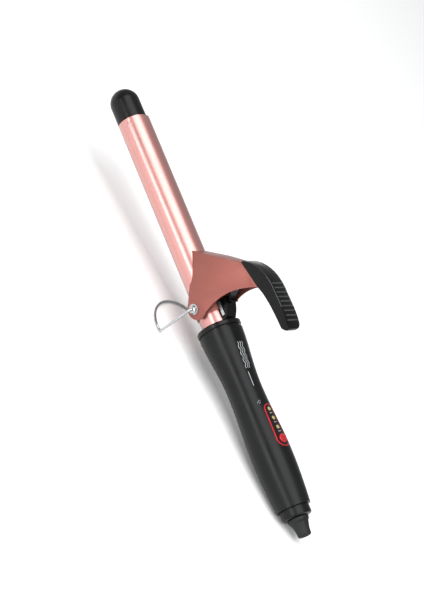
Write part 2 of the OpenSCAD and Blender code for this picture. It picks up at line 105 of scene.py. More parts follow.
def add_node(tree: bpy.types.NodeTree, kind: str, settings: dict[str, Any] | None = None,
             inputs: dict[str | int, Any] | None = None) -> bpy.types.Node:
    """Adds one node with its settings, values and links.

    Args:
        tree: The material's or the modifier's node tree.
        kind: Blender's name of the node type.
        settings: Attributes of the node.
        inputs: For each input, an output socket to link or a value to set.

    Returns:
        The new node.
    """
    node = tree.nodes.new(kind)
    for name, value in (settings or {}).items():
        setattr(node, name, value)
    for name, value in (inputs or {}).items():
        if isinstance(value, bpy.types.NodeSocket):
            tree.links.new(value, node.inputs[name])
        else:
            node.inputs[name].default_value = value
    return node


# ---- Finishes ----

@dataclass(frozen=True)
class Finish:
    """A surface finish: a common material and how its surface was made.

    The grain is a fine bump, and the patches are slow changes of tone and gloss over the surface.
    """

    name: str
    colour: str
    tone: str
    metallic: float = 0.0
    roughness: float = 0.4
    rough_swing: float = 0.06
    ior: float = 1.5
    grain_mm: float = 1.2
    grain_deep_mm: float = 0.01
    patch_mm: float = 18.0
    coat: float = 0.0
    coat_roughness: float = 0.1
    specular: float = 0.5

    def material(self) -> bpy.types.Material:
        """Makes the material once, and returns the same one from then on."""
        found = bpy.data.materials.get(self.name)
        if found and found.get("made_here"):
            return found
        made = bpy.data.materials.new(self.name)
        made["made_here"] = True
        made.use_nodes = True
        made.diffuse_color = to_linear(self.colour)
        tree = made.node_tree
        tree.nodes.clear()
        place = add_node(tree, "ShaderNodeTexCoord").outputs["Object"]
        shader = add_node(tree, "ShaderNodeBsdfPrincipled", inputs={
            "Metallic": self.metallic, "Coat Weight": self.coat, "Coat Roughness": self.coat_roughness,
            "Specular IOR Level": self.specular})
        if self.metallic < 1:
            shader.inputs["IOR"].default_value = self.ior
        self.pattern(tree, place, shader)
        add_node(tree, "ShaderNodeOutputMaterial", inputs={"Surface": shader.outputs["BSDF"]})
        return made

    def pattern(self, tree: bpy.types.NodeTree, place: bpy.types.NodeSocket,
                shader: bpy.types.Node) -> None:
        """Adds tone patches, uneven gloss and grain to the shader.

        Args:
            tree: The material's node tree.
            place: Object coordinates.
            shader: The Principled BSDF.
        """
        patches = add_node(tree, "ShaderNodeTexNoise", inputs={
            "Vector": place, "Scale": per_metre(self.patch_mm), "Detail": 3.0}).outputs["Fac"]
        self.tint(tree, patches, shader)
        self.gloss(tree, patches, shader)
        self.bump(tree, self.grain(tree, place), shader)

    def grain(self, tree: bpy.types.NodeTree, place: bpy.types.NodeSocket) -> bpy.types.NodeSocket:
        """Height of the fine grain, from 0 to 1."""
        return add_node(tree, "ShaderNodeTexNoise", inputs={
            "Vector": place, "Scale": per_metre(self.grain_mm), "Detail": 2.0}).outputs["Fac"]

    def tint(self, tree: bpy.types.NodeTree, factor: bpy.types.NodeSocket, shader: bpy.types.Node) -> None:
        """Colours the shader between the finish's colour and its tone, as factor goes from 0.35 to 0.65."""
        ramp = add_node(tree, "ShaderNodeValToRGB", inputs={"Fac": factor})
        ramp.color_ramp.elements[0].position, ramp.color_ramp.elements[1].position = 0.35, 0.65
        ramp.color_ramp.elements[0].color = to_linear(self.colour)
        ramp.color_ramp.elements[1].color = to_linear(self.tone)
        tree.links.new(ramp.outputs["Color"], shader.inputs["Base Color"])

    def gloss(self, tree: bpy.types.NodeTree, factor: bpy.types.NodeSocket, shader: bpy.types.Node) -> None:
        """Swings the roughness about its value as factor goes from 0.3 to 0.7."""
        span = add_node(tree, "ShaderNodeMapRange", inputs={
            "Value": factor, "From Min": 0.3, "From Max": 0.7,
            "To Min": max(0.0, self.roughness - self.rough_swing),
            "To Max": self.roughness + self.rough_swing})
        tree.links.new(span.outputs["Result"], shader.inputs["Roughness"])

    def bump(self, tree: bpy.types.NodeTree, height: bpy.types.NodeSocket, shader: bpy.types.Node) -> None:
        """Turns a height into bump of the grain's depth."""
        node = add_node(tree, "ShaderNodeBump", inputs={
            "Height": height, "Strength": 1.0, "Distance": self.grain_deep_mm * MM})
        tree.links.new(node.outputs["Normal"], shader.inputs["Normal"])


@dataclass(frozen=True)
class BakedEnamel(Finish):
    """Metallic enamel sprayed on aluminium and baked: mica flakes in a satin film, faint orange peel."""

    flake: str = "#f2cbc4"
    flake_mm: float = 0.7
    peel_mm: float = 3.5

    def pattern(self, tree: bpy.types.NodeTree, place: bpy.types.NodeSocket,
                shader: bpy.types.Node) -> None:
        """Adds flakes of their own tone, uneven gloss and orange peel.

        Args:
            tree: The material's node tree.
            place: Object coordinates.
            shader: The Principled BSDF.
        """
        patches = add_node(tree, "ShaderNodeTexNoise", inputs={
            "Vector": place, "Scale": per_metre(self.patch_mm), "Detail": 3.0}).outputs["Fac"]
        ground = add_node(tree, "ShaderNodeMix", {"data_type": "RGBA"}, {
            0: patches, 6: to_linear(self.colour), 7: to_linear(self.tone)}).outputs[2]
        # Mica flakes are about 0.1 mm: drawn coarser, so that they show as a faint sparkle
        cells = add_node(tree, "ShaderNodeTexVoronoi", inputs={
            "Vector": place, "Scale": per_metre(self.flake_mm)}).outputs["Color"]
        bright = add_node(tree, "ShaderNodeMapRange", inputs={
            "Value": cells, "From Min": 0.72, "From Max": 1.0, "To Min": 0.0, "To Max": 0.14})
        skin = add_node(tree, "ShaderNodeMix", {"data_type": "RGBA"}, {
            0: bright.outputs["Result"], 6: ground, 7: to_linear(self.flake)}).outputs[2]
        tree.links.new(skin, shader.inputs["Base Color"])
        self.gloss(tree, patches, shader)
        peel = add_node(tree, "ShaderNodeTexNoise", inputs={
            "Vector": place, "Scale": per_metre(self.peel_mm), "Detail": 1.0}).outputs["Fac"]
        self.bump(tree, peel, shader)


@dataclass(frozen=True)
class SparkErodedPlastic(Finish):
    """Plastic moulded in a spark-eroded tool: an even, pebbled satin skin."""

    def grain(self, tree: bpy.types.NodeTree, place: bpy.types.NodeSocket) -> bpy.types.NodeSocket:
        """Height of the pebbles: rounded cells of one size."""
        return add_node(tree, "ShaderNodeTexVoronoi", {"feature": "SMOOTH_F1"}, {
            "Vector": place, "Scale": per_metre(self.grain_mm), "Smoothness": 0.6}).outputs["Distance"]


@dataclass(frozen=True)
class DrawnMetal(Finish):
    """Metal drawn or rolled one way: fine lines along it, coarser than they are so that they show."""

    along: tuple[float, float, float] = (1.0, 0.0, 0.0)
    line_mm: float = 12.0

    def grain(self, tree: bpy.types.NodeTree, place: bpy.types.NodeSocket) -> bpy.types.NodeSocket:
        """Height of the lines: noise drawn out along the metal."""
        stretch = tuple(self.grain_mm / self.line_mm if a else 1.0 for a in self.along)
        drawn = add_node(tree, "ShaderNodeMapping",
                         inputs={"Vector": place, "Scale": stretch}).outputs["Vector"]
        return add_node(tree, "ShaderNodeTexNoise", inputs={
            "Vector": drawn, "Scale": per_metre(self.grain_mm), "Detail": 2.0}).outputs["Fac"]


# Rose-gold metallic enamel, sprayed and baked: soft wide highlights that run the barrel's length
ROSE_ENAMEL = BakedEnamel("rose_baked_enamel", "#c98f89", "#c18782", metallic=0.88, roughness=0.32,
                          rough_swing=0.03,
                          grain_deep_mm=0.006, patch_mm=30, coat=0.9, coat_roughness=0.22)
# The pressed lever has the same enamel on a rougher sheet, so it looks flatter; its colour is set darker and
# browner than the barrel's, as painted shade
ROSE_ENAMEL_PAINTED_SHADE = BakedEnamel("rose_enamel_darkened_painted_shade", "#8d5148", "#844a42", metallic=0.6, roughness=0.45,
                         rough_swing=0.04, grain_deep_mm=0.01, patch_mm=22, flake="#b87a72", coat=0.1,
                         coat_roughness=0.35)
# Black ABS from a spark-eroded tool: satin, with a long soft highlight
BLACK_ABS = SparkErodedPlastic("black_satin_abs", "#0b0c0d", "#101112", roughness=0.36, rough_swing=0.04,
                               grain_mm=1.1, grain_deep_mm=0.012, patch_mm=25, specular=0.2)
# Heat-proof phenolic of the cool tip and the collar: a little smoother, with flow marks
BLACK_PHENOLIC = SparkErodedPlastic("black_phenolic", "#0b0b0c", "#111112", roughness=0.33,
                                    rough_swing=0.06,
                                    grain_mm=1.4, grain_deep_mm=0.01, patch_mm=9, specular=0.2)
# Glossy black nylon of the thumb rest: worn bright by the thumb
BLACK_NYLON = Finish("black_polished_nylon", "#070708", "#0c0c0d", roughness=0.22, rough_swing=0.06,
                     ior=1.53,
                     grain_mm=2.2, grain_deep_mm=0.008, patch_mm=12, specular=0.16)
# The same nylon, lightened to dark grey as a painted glint on the thumb rest's edge beads and ribs
NYLON_PAINTED_GLINT = Finish("black_nylon_lightened_painted_glint", "#2a2b2c", "#343536", roughness=0.18,
                      rough_swing=0.05, ior=1.53,
                      grain_mm=1.5, grain_deep_mm=0.004, patch_mm=6, specular=0.8)
# Soft black rubber of the cord gland: dull and slightly dusty
BLACK_RUBBER = Finish("black_soft_rubber", "#101112", "#17181a", roughness=0.6, rough_swing=0.08, ior=1.52,
                      grain_mm=1.0, grain_deep_mm=0.02, patch_mm=6, specular=0.3)
# Hard coated polycarbonate of the control panel: almost a dark mirror
DARK_PANEL = Finish("dark_hard_coated_polycarbonate", "#150a0b", "#1c0d0e", roughness=0.16,
                    rough_swing=0.04,
                    ior=1.58, grain_mm=3.0, grain_deep_mm=0.003, patch_mm=5, specular=0.3)
# Red acrylic of the outline and the button: coloured in the mass, with a clear depth
RED_ACRYLIC = Finish("red_cast_acrylic", "#a81c27", "#b5242f", roughness=0.24, rough_swing=0.05, ior=1.49,
                     grain_mm=1.6, grain_deep_mm=0.004, patch_mm=3, specular=0.35)
# Cloudy lens of the indicators: frosted cream acrylic
CREAM_LENS = Finish("frosted_cream_acrylic", "#a9a36c", "#97915a", roughness=0.35, rough_swing=0.06,
                    ior=1.49,
                    grain_mm=0.8, grain_deep_mm=0.01, patch_mm=1.5)
# Nickel and chrome on steel: a bright mirror with faint polishing waves
CHROME = Finish("chrome_plated_steel", "#b9bbbd", "#a4a7a9", metallic=1.0, roughness=0.14, rough_swing=0.05,
                grain_mm=2.0, grain_deep_mm=0.006, patch_mm=4)
# Cold rolled strip, zinc plated: pale grey with rolling lines
ZINC_STEEL = DrawnMetal("zinc_plated_rolled_steel", "#c6c8c9", "#aeb1b3", metallic=1.0, roughness=0.3,
                        rough_swing=0.08, grain_mm=0.7, grain_deep_mm=0.01, patch_mm=5)
# Spring steel strip, darkened nearly black as painted shade for its place under the lever, with a blue-grey
# sheen
SPRING_STEEL_PAINTED_SHADE = DrawnMetal("spring_steel_darkened_painted_shade", "#33363b", "#2a2b2f", metallic=1.0, roughness=0.32,
                         rough_swing=0.06, grain_mm=0.7, grain_deep_mm=0.008, patch_mm=4)
# Mill-finish aluminium extrusion, with its die lines
ALUMINIUM = DrawnMetal("extruded_aluminium", "#c3c5c7", "#b2b4b6", metallic=1.0, roughness=0.38,
                       rough_swing=0.06,
                       grain_mm=0.9, grain_deep_mm=0.012, line_mm=40, patch_mm=14)
# Unlacquered brass contacts, turned and slightly tarnished
BRASS = Finish("turned_brass", "#c9a24e", "#a9823a", metallic=1.0, roughness=0.28, rough_swing=0.1,
               grain_mm=0.8, grain_deep_mm=0.008, patch_mm=4)
# Pressed and fired alumina: chalky, with a fine grain
CERAMIC = Finish("fired_alumina", "#e9e4d8", "#ddd6c7", roughness=0.7, rough_swing=0.08, ior=1.76,
                 grain_mm=1.0, grain_deep_mm=0.02, patch_mm=8)
# Glass-epoxy laminate with a green solder mask, and the weave of its cloth
LAMINATE = SparkErodedPlastic("green_masked_laminate", "#2a6244", "#225439", roughness=0.36,
                              rough_swing=0.05,
                              ior=1.55, grain_mm=0.9, grain_deep_mm=0.01, patch_mm=7)
# Screen-printed ink: flat pale grey film with a slightly ragged coverage
PALE_INK = Finish("pale_screen_printed_ink", "#c2c5c8", "#acafb2", roughness=0.5, rough_swing=0.08,
                  grain_mm=0.6, grain_deep_mm=0.004, patch_mm=1.5)
DARK_INK = Finish("dark_screen_printed_ink", "#3a0d10", "#4a1216", roughness=0.45, rough_swing=0.06,
                  grain_mm=0.6, grain_deep_mm=0.004, patch_mm=1.5)
GREY_INK = Finish("grey_screen_printed_ink", "#7d8083", "#6d7073", roughness=0.5, rough_swing=0.06,
                  grain_mm=0.6, grain_deep_mm=0.004, patch_mm=1.5)
# Seamless paper sweep of the studio
PAPER = Finish("white_studio_paper", "#f4f4f4", "#f2f2f2", roughness=0.9, rough_swing=0.03,
               grain_mm=6.0, grain_deep_mm=0.02, patch_mm=300)


# ---- Places and meshes ----

@dataclass(frozen=True)
class Bench:
    """The iron's own axes in mm: x towards the lever, y to the far side, z along the barrel to the tip."""

    origin: Vector
    lever: Vector
    tip: Vector

    @classmethod
    def from_joints(cls, joints: Sequence[dict[str, Any]]) -> "Bench":
        """Finds the axes from the gland's swivel axis and the clip's hinge.

        Args:
            joints: The record's joints.

        Returns:
            The bench, with its origin on the barrel's axis beside the hinge.
        """
        by_name = {joint["name"]: joint for joint in joints}
        end = Vector(by_name["gland_swivel"]["pos_m"])
        hinge = Vector(by_name["clip_hinge"]["pos_m"])
        tip = Vector(by_name["gland_swivel"]["axis"]).normalized()
        if tip.x > 0:
            tip = -tip
        lever = Vector((0, 1, 0)).cross(tip).normalized()
        return cls(end + tip * (hinge - end).dot(tip), lever, tip)

    def point(self, x: float, y: float, z: float) -> Vector:
        """World place in metres of a point in mm on the bench."""
        return self.origin + MM * (x * self.lever + y * Vector((0, 1, 0)) + z * self.tip)


def grid_faces(rows: int, columns: int, wrap: bool) -> list[tuple[int, int, int, int]]:
    """Faces of a grid of points stored row by row.

    Args:
        rows: Number of rows.
        columns: Points in a row.
        wrap: Whether each row is a closed ring.

    Returns:
        The corner indexes of each face.
    """
    last = columns if wrap else columns - 1
    return [(r * columns + c, (r + 1) * columns + c, (r + 1) * columns + (c + 1) % columns,
             r * columns + (c + 1) % columns)
            for r in range(rows - 1) for c in range(last)]


def swept_tube(name: str, route: Sequence[Vector], radius: float, sides: int) -> bpy.types.Mesh:
    """Sweeps a round section along a route, with closed ends.

    Args:
        name: Name of the mesh.
        route: Points along the middle of the tube.
        radius: Radius of the tube.
        sides: Number of sides.

    Returns:
        The mesh, with its faces outwards.
    """
    points: list[Vector] = []
    sideways = Vector((1, 0, 0))
    for i, here in enumerate(route):
        ahead = (route[min(i + 1, len(route) - 1)] - route[max(i - 1, 0)]).normalized()
        sideways = (sideways - sideways.dot(ahead) * ahead).normalized()
        other = ahead.cross(sideways)
        points += [here + radius * (math.cos(a) * sideways + math.sin(a) * other)
                   for a in (2 * math.pi * k / sides for k in range(sides))]
    faces: list[tuple[int, ...]] = list(grid_faces(len(route), sides, True))
    first = (len(route) - 1) * sides
    faces += [tuple(range(sides)), tuple(range(first, first + sides))]
    mesh = bpy.data.meshes.new(name)
    mesh.from_pydata([tuple(p) for p in points], [], faces)
    turn_outwards(mesh)
    return mesh


def turn_outwards(mesh: bpy.types.Mesh) -> None:
    """Recalculates the faces of a closed mesh so that they point outwards."""
    work = bmesh.new()
    work.from_mesh(mesh)
    bmesh.ops.recalc_face_normals(work, faces=work.faces)
    work.to_mesh(mesh)
    work.free()


def shade_by_angle(mesh: bpy.types.Mesh, degrees: float) -> None:
    """Shades a mesh smooth, except across edges sharper than the angle."""
    mesh.shade_smooth()
    mesh.set_sharp_from_angle(angle=math.radians(degrees))


@dataclass
class SubAssembly:
    """A group of pieces that are made and dressed together."""

    bench: Bench

    def build(self) -> None:
        """Makes the group's own pieces."""

    def dress(self) -> None:
        """Gives the group's pieces of the frame their finishes."""

    def finish_nodes(self, finishes: dict[Finish, Iterable[str]]) -> None:
        """Puts finishes on nodes of the frame.

        Args:
            finishes: The nodes that get each finish.
        """
        for finish, nodes in finishes.items():
            for name in nodes:
                mesh = frame["nodes"][name].data
                mesh.materials.clear()
                mesh.materials.append(finish.material())
                log.info("dressed %s in %s", name, finish.name)

    def add_piece(self, name: str, mesh: bpy.types.Mesh, finish: Finish, body: Body, slot: str,
                  instead_of: str | None = None) -> bpy.types.Object:
        """Adds a finished piece that moves with a body.

        Args:
            name: Name of the piece.
            mesh: Its mesh, already in place in metres.
            finish: Its finish.
            body: The body it moves with.
            slot: The record's material slot of the piece; not used.
            instead_of: The node of the frame that it stands for.

        Returns:
            The new object.
        """
        mesh.materials.clear()
        mesh.materials.append(finish.material())
        piece = bpy.data.objects.new(name, mesh)
        bpy.context.scene.collection.objects.link(piece)
        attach(piece, body.value)
        if instead_of:
            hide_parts(instead_of)
        log.info("made %s: %d faces, on %s", name, len(mesh.polygons), body.value)
        return piece

    def softened(self, node: str, round_mm: float, smooth_under: float, segments: int = 3,
                 round_over: float = 35.0) -> bpy.types.Mesh:
        """Copies a node's mesh, joins its loose triangles, rounds its sharp edges and shades it smooth.

        Args:
            node: The node of the frame.
            round_mm: Width of the rounding; 0 leaves the edges sharp.
            smooth_under: Edges flatter than this many degrees are shaded smooth.
            segments: Faces across each rounding.
            round_over: Edges sharper than this many degrees are rounded.

        Returns:
            A new mesh in the same place.
        """
        source = frame["nodes"][node].data
        work = bmesh.new()
        work.from_mesh(source)
        bmesh.ops.remove_doubles(work, verts=work.verts, dist=0.002 * MM)
        bmesh.ops.dissolve_degenerate(work, edges=work.edges, dist=0.002 * MM)
        if round_mm:
            bmesh.ops.dissolve_limit(work, angle_limit=math.radians(0.4), verts=work.verts,
                                     edges=work.edges)
        mesh = bpy.data.meshes.new(node + "_softened")
        work.to_mesh(mesh)
        work.free()
        if round_mm:
            carrier = bpy.data.objects.new(node + "_carrier", mesh)
            bpy.context.scene.collection.objects.link(carrier)
            bevel = carrier.modifiers.new("rounding", "BEVEL")
            bevel.width, bevel.segments = round_mm * MM, segments
            bevel.limit_method, bevel.angle_limit = "ANGLE", math.radians(round_over)
            bevel.use_clamp_overlap = True
            mesh = self.as_plain_mesh(carrier)
        for attribute in [a for a in mesh.attributes if a.name == "custom_normal"]:
            mesh.attributes.remove(attribute)
        shade_by_angle(mesh, smooth_under)
        return mesh

    @staticmethod
    def as_plain_mesh(carrier: bpy.types.Object) -> bpy.types.Mesh:
        """Turns an object and its modifiers into a plain mesh, and removes the object."""
        evaluated = carrier.evaluated_get(bpy.context.evaluated_depsgraph_get())
        mesh = bpy.data.meshes.new_from_object(evaluated)
        bpy.data.objects.remove(carrier)
        return mesh


# ---- Barrel ----

@dataclass
class Barrel(SubAssembly):
    """Heated barrel with its cool tip, the heater inside it and the saddle of the hinge."""

    def build(self) -> None:
        """Makes the cool tip with a soft shoulder."""
        self.add_piece("cool_tip_moulding", self.softened("cool_tip", 0, 40), BLACK_PHENOLIC, Body.IRON,
                       "black_phenolic", "cool_tip")

    def dress(self) -> None:
        """Gives the barrel, the heater and the saddle their finishes."""
        self.finish_nodes({
            ROSE_ENAMEL: ["barrel_tube"],
            BLACK_PHENOLIC: ["cool_tip"],
            CERAMIC: ["heater_plate", "lead_insulator"],
            ALUMINIUM: ["heat_spreader_upper", "heat_spreader_lower"],
            BRASS: ["thermal_fuse"],
            # The saddle takes the lever's copy of the rose enamel, darkened as painted shade
            ROSE_ENAMEL_PAINTED_SHADE: ["hinge_saddle"],
            CHROME: ["hinge_pin_near", "hinge_pin_far", "hinge_washer_near", "hinge_washer_far"],
            BLACK_NYLON: ["spring_block"],
            ZINC_STEEL: ["block_strap_near", "block_strap_far"],
        })


# ---- Clip ----

@dataclass
class Clip(SubAssembly):
    """Spoon, folded sheet lever, leaf spring and thumb rest."""

    rib_count: int = 9
    rib_wide_mm: float = 1.3
    rib_high_mm: float = 1.3
    rib_long_mm: float = 12.6
    ribs_from: float = 0.42
    ribs_to: float = 0.93
    bead_r_mm: float = 0.38
    bead_in_mm: float = 0.75

    def build(self) -> None:
        """Makes the lever, the thumb rest and its ribs."""
        # The lever's rose enamel is darkened as painted shade
        self.add_piece("lever_pressing", self.softened("clip_lever", 0.9, 40), ROSE_ENAMEL_PAINTED_SHADE, Body.CLIP,
                       "rose_enamel", "clip_lever")
        rest = self.softened("thumb_rest", 1.5, 44, 4)
        self.add_piece("thumb_rest_moulding", rest, BLACK_NYLON, Body.CLIP, "black_nylon", "thumb_rest")
        # The ribs are in the lightened nylon: painted glints
        self.add_piece("thumb_rest_ribs", self.ribs(), NYLON_PAINTED_GLINT, Body.CLIP, "black_nylon")
        # Beads along the top edges carry a painted glint line
        for side, name in ((-1, "near"), (1, "far")):
            self.add_piece(f"thumb_rest_glint_bead_{name}", self.bead(side), NYLON_PAINTED_GLINT, Body.CLIP,
                           "black_nylon")

    def dress(self) -> None:
        """Gives the clip's pieces of the frame their finishes."""
        self.finish_nodes({
            ROSE_ENAMEL: ["clip_spoon"],
            # The lever's rose enamel is darkened as painted shade
            ROSE_ENAMEL_PAINTED_SHADE: ["clip_lever"],
            # The leaf spring's near-black colour is painted shade
            SPRING_STEEL_PAINTED_SHADE: ["leaf_spring"],
            ZINC_STEEL: ["spring_rivet", "thumb_rest_rivets"],
            BLACK_NYLON: ["thumb_rest"],
        })

    def crest(self, count: int) -> list[Vector]:
        """Points along the middle of the thumb rest's top, from its front to its back end.

        Args:
            count: Number of points.

        Returns:
            Places in metres.
        """
        node = frame["nodes"]["thumb_rest"].data
        tree = BVHTree.FromPolygons([v.co[:] for v in node.vertices],
                                    [p.vertices[:] for p in node.polygons])
        low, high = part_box("thumb_rest")
        points = []
        for i in range(count):
            x = low.x + (high.x - low.x) * (0.04 + 0.94 * i / (count - 1))
            hit = tree.ray_cast(Vector((x, 0.0, high.z + 0.02)), Vector((0, 0, -1)))[0]
            if hit is not None:
                points.append(hit)
        return points

    def bead(self, side: int) -> bpy.types.Mesh:
        """A bead along one edge of the thumb rest's top, which carries a painted glint line.

        Args:
            side: -1 for the near edge, 1 for the far edge.

        Returns:
            The bead as a thin tube sunk halfway into the edge.
        """
        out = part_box("thumb_rest")[1].y - self.bead_in_mm * MM
        sink = 0.15 * MM
        line = [p + Vector((0, side * out, -sink)) for p in self.crest(40)[1:30]]
        mesh = swept_tube(f"bead_{side}", line, self.bead_r_mm * MM, 10)
        shade_by_angle(mesh, 50)
        return mesh

    def ribs(self) -> bpy.types.Mesh:
        """Ribs across the back half of the thumb rest, laid along its crest by a node tree.

        Returns:
            The ribs as one mesh.
        """
        crest = self.crest(60)
        first, last = int(len(crest) * self.ribs_from), int(len(crest) * self.ribs_to)
        line = bpy.data.meshes.new("crest_line")
        kept = crest[first:last]
        line.from_pydata([tuple(p) for p in kept], [(i, i + 1) for i in range(len(kept) - 1)], [])
        carrier = bpy.data.objects.new("rib_carrier", line)
        bpy.context.scene.collection.objects.link(carrier)
        tree = bpy.data.node_groups.new("ribs_along_crest", "GeometryNodeTree")
        sizes = {"Rib count": self.rib_count, "Rib width": self.rib_wide_mm * MM,
                 "Rib height": self.rib_high_mm * MM, "Rib length": self.rib_long_mm * MM}
        face = tree.interface
        face.new_socket("Crest", in_out="INPUT", socket_type="NodeSocketGeometry")
        sockets = {name: face.new_socket(
            name, in_out="INPUT",
            socket_type="NodeSocketInt" if isinstance(size, int) else "NodeSocketFloat")
            for name, size in sizes.items()}
        face.new_socket("Ribs", in_out="OUTPUT", socket_type="NodeSocketGeometry")
        given = add_node(tree, "NodeGroupInput").outputs
        curve = add_node(tree, "GeometryNodeMeshToCurve", inputs={"Mesh": given["Crest"]}).outputs["Curve"]
        spots = add_node(tree, "GeometryNodeCurveToPoints", {"mode": "COUNT"}, {
            "Curve": curve, "Count": given["Rib count"]})
        # A rib is a bar with a rounded top: a long low twelve-sided prism lying across the crest
        bar = add_node(tree, "GeometryNodeMeshCylinder", {"fill_type": "NGON"}, {
            "Vertices": 12, "Radius": 0.5, "Depth": 1.0}).outputs["Mesh"]
        squashed = add_node(tree, "ShaderNodeCombineXYZ", inputs={
            "X": given["Rib width"], "Y": given["Rib height"], "Z": given["Rib length"]}).outputs["Vector"]
        sized = add_node(tree, "GeometryNodeTransform",
                         inputs={"Geometry": bar, "Scale": squashed}).outputs["Geometry"]
        laid = add_node(tree, "GeometryNodeTransform", inputs={
            "Geometry": sized, "Rotation": (math.pi / 2, 0.0, 0.0)}).outputs["Geometry"]
        turn = add_node(tree, "FunctionNodeAlignRotationToVector", {"axis": "X", "pivot_axis": "Y"}, {
            "Vector": spots.outputs["Tangent"]}).outputs["Rotation"]
        placed = add_node(tree, "GeometryNodeInstanceOnPoints", inputs={
            "Points": spots.outputs["Points"], "Instance": laid, "Rotation": turn}).outputs["Instances"]
        real = add_node(tree, "GeometryNodeRealizeInstances",
                        inputs={"Geometry": placed}).outputs["Geometry"]
        # The ribs take the lightened nylon as painted glints
        done = add_node(tree, "GeometryNodeSetMaterial", inputs={
            "Geometry": real, "Material": NYLON_PAINTED_GLINT.material()}).outputs["Geometry"]
        add_node(tree, "NodeGroupOutput", inputs={"Ribs": done})
        modifier = carrier.modifiers.new("ribs", "NODES")
        modifier.node_group = tree
        for name, size in sizes.items():
            modifier[sockets[name].identifier] = size
        mesh = self.as_plain_mesh(carrier)
        shade_by_angle(mesh, 40)
        return mesh


# ---- Handle ----

@dataclass
class Handle(SubAssembly):
    """Sleeve, collar, control panel, end cap and the marks printed on them."""

    ink_proud_mm: float = 0.06
    rule_from: float = -76.0
    rule_to: float = -64.0
    rule_wide: float = 0.45
    strand_wide: float = 0.36
    strand_swing: float = 0.55
    strand_gap: float = 1.9
    strand_waves: int = 4
    arc_radii: tuple[float, float] = (1.4, 3.0)
    arc_wide: float = 0.5
    tick_wide: float = 0.45
    sign_wide: float = 0.42
    mark_turn: float = 13.0
    strand_from: float = -61.0
    strand_to: float = -39.0

    def build(self) -> None:
        """Makes smooth mouldings over the frame's faceted ones, and the printed marks."""
        for node, finish, slot, round_mm, angle in (
                ("handle_sleeve", BLACK_ABS, "black_nylon", 0.0, 28.0),
                ("collar_ring", BLACK_PHENOLIC, "black_nylon", 0.25, 40.0),
                ("end_cap", BLACK_ABS, "black_nylon", 0.3, 40.0),
                ("control_panel", DARK_PANEL, "gloss_panel", 0.0, 28.0),
                ("panel_trim", RED_ACRYLIC, "red_acrylic", 0.0, 28.0)):
            self.add_piece(node + "_moulding", self.softened(node, round_mm, angle), finish, Body.IRON,
                           slot, node)
        self.print_marks()

    def dress(self) -> None:
        """Gives the handle's pieces of the frame their finishes."""
        self.finish_nodes({
            BLACK_ABS: ["handle_sleeve", "end_cap", "board_carrier"],
            BLACK_PHENOLIC: ["collar_ring"],
            DARK_PANEL: ["control_panel", "button_switch"],
            RED_ACRYLIC: ["panel_trim"],
            CREAM_LENS: ["window_1", "window_2", "window_3", "board_leds"],
            LAMINATE: ["control_board"],
            ZINC_STEEL: ["board_screws", "end_cap_screw", "collar_screws"],
            BRASS: ["brush_contacts"],
        })

    def surface(self, *nodes: str) -> Callable[[float, float, float], Vector]:
        """Makes a function that drops a point onto the nodes' skin.

        Args:
            nodes: Nodes of the frame that carry the marks.

        Returns:
            A function of a station along the handle, an angle round it in degrees towards the near side,
            and a height over the skin in mm, which gives a place in metres.
        """
        points: list[tuple[float, float, float]] = []
        faces: list[tuple[int, ...]] = []
        for name in nodes:
            mesh = frame["nodes"][name].data
            start = len(points)
            points += [tuple(v.co) for v in mesh.vertices]
            faces += [tuple(start + i for i in p.vertices) for p in mesh.polygons]
        tree = BVHTree.FromPolygons(points, faces)

        def drop(station: float, turn: float, proud: float) -> Vector:
            """Place over the skin at a station and an angle."""
            a = math.radians(turn)
            out = (self.bench.point(math.cos(a), -math.sin(a), station)
                   - self.bench.point(0, 0, station)).normalized()
            start = self.bench.point(0, 0, station) + out * 0.04
            hit = tree.ray_cast(start, -out)[0]
            return (hit if hit is not None else start - out * 0.022) + out * proud * MM
        return drop

    def ribbon(self, drop: Callable[[float, float, float], Vector], line: Sequence[tuple[float, float]],
               wide: float, radius: float) -> tuple[list[Vector], list[tuple[int, ...]]]:
        """A thin printed line that follows the skin.

        Args:
            drop: The function from surface().
            line: Points as (station, arc length towards the near side), in mm.
            wide: Width of the line in mm.
            radius: Radius in mm that turns arc length into an angle.

        Returns:
            Points and faces of a closed thin ribbon.
        """
        points: list[Vector] = []
        for i, (s, y) in enumerate(line):
            ahead, behind = line[min(i + 1, len(line) - 1)], line[max(i - 1, 0)]
            along = Vector((ahead[0] - behind[0], ahead[1] - behind[1])).normalized()
            side = Vector((-along.y, along.x)) * wide / 2
            for sign, proud in ((1, self.ink_proud_mm), (-1, self.ink_proud_mm), (-1, -0.05), (1, -0.05)):
                points.append(drop(s + sign * side.x, math.degrees((y + sign * side.y) / radius), proud))
        faces: list[tuple[int, ...]] = list(grid_faces(len(line), 4, True))
        end = 4 * (len(line) - 1)
        faces += [(0, 1, 2, 3), (end, end + 1, end + 2, end + 3)]
        return points, faces

    def print_lines(self, name: str, drop: Callable[[float, float, float], Vector],
                    lines: Sequence[Sequence[tuple[float, float]]], wide: float, radius: float,
                    finish: Finish,
                    body: Body, slot: str) -> None:
        """Adds a piece made of printed lines.

        Args:
            name: Name of the piece.
            drop: The function from surface().
            lines: The lines, as in ribbon().
            wide: Width of the lines in mm.
            radius: Radius in mm that turns arc length into an angle.
            finish: The ink.
            body: The body it moves with.
            slot: The record's material slot.
        """
        points: list[tuple[float, ...]] = []
        faces: list[tuple[int, ...]] = []
        for line in lines:
            more, corners = self.ribbon(drop, line, wide, radius)
            faces += [tuple(len(points) + i for i in f) for f in corners]
            points += [tuple(p) for p in more]
        mesh = bpy.data.meshes.new(name)
        mesh.from_pydata(points, [], faces)
        turn_outwards(mesh)
        self.add_piece(name, mesh, finish, body, slot)

    def print_marks(self) -> None:
        """Prints the rule, the wavy strands, the warmth arcs, the window ticks and the power sign."""
        skin = self.surface("handle_sleeve")
        radius = 15.5
        shift = math.radians(self.mark_turn) * radius
        rule = [(self.rule_from + (self.rule_to - self.rule_from) * i / 16, shift + 1.6) for i in range(17)]
